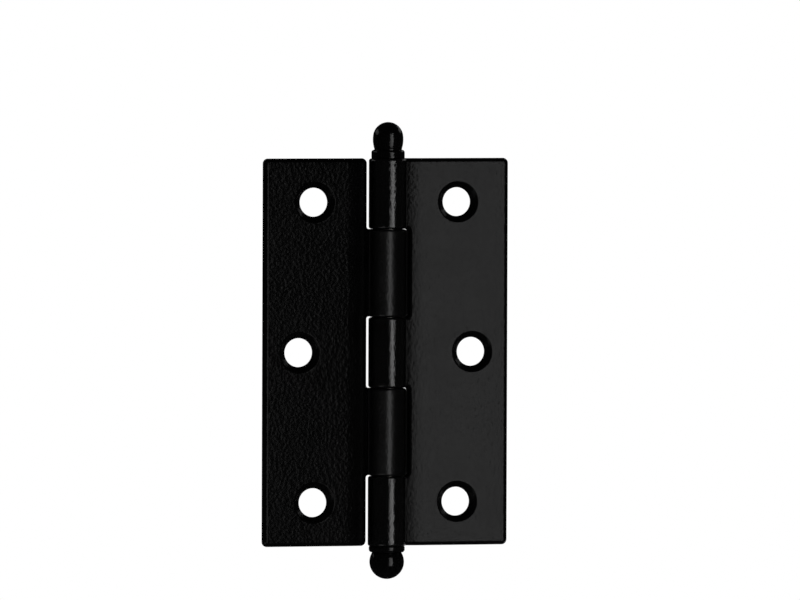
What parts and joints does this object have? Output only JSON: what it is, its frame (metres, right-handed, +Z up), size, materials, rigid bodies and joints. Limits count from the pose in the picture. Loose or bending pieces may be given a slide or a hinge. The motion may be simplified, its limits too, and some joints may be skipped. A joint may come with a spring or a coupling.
{
  "type": "door hinge",
  "caption": "Butt hinge of bent sheet steel with a loose pin, round finial tips and countersunk screw holes, coated satin black.",
  "frame": {"origin": "on the pin's axis, halfway up the barrel and the leaves", "axes": "+Z up along the pin towards its head; -Y is the side that the barrel stands out to and the screws go in from; +Y is the side that rests on the door and the frame; the frame leaf reaches to +X"},
  "size_m": [0.05, 0.0074, 0.0898],
  "materials": {
    "leaf_coat": "satin black powder coat",
    "pin_coat": "semi-gloss black coat on steel",
    "tip_coat": "semi-gloss black coat on steel"
  },
  "bodies": {
    "frame_side": {"frame_leaf": "leaf_coat", "lower_tip_plug": "pin_coat"},
    "door_side": {"door_leaf": "leaf_coat"},
    "pin": {"hinge_pin": "pin_coat"},
    "upper_tip": {"upper_ball_tip": "tip_coat"},
    "lower_tip": {"lower_ball_tip": "tip_coat"}
  },
  "joints": [
    {"name": "leaf_swing", "type": "hinge", "parent": "frame_side", "child": "door_side", "pos_m": [0, 0, 0], "axis": [0, 0, 1], "range_deg": [-105, 183]},
    {"name": "pin_lift", "type": "slide", "parent": "frame_side", "child": "pin", "axis": [0, 0, 1], "range_m": [0, 0.072]},
    {"name": "upper_tip_turn", "type": "hinge", "parent": "pin", "child": "upper_tip", "pos_m": [0, 0, 0.0398], "axis": [0, 0, 1], "continuous": true},
    {"name": "lower_tip_turn", "type": "hinge", "parent": "frame_side", "child": "lower_tip", "pos_m": [0, 0, -0.0393], "axis": [0, 0, 1], "continuous": true}
  ]
}
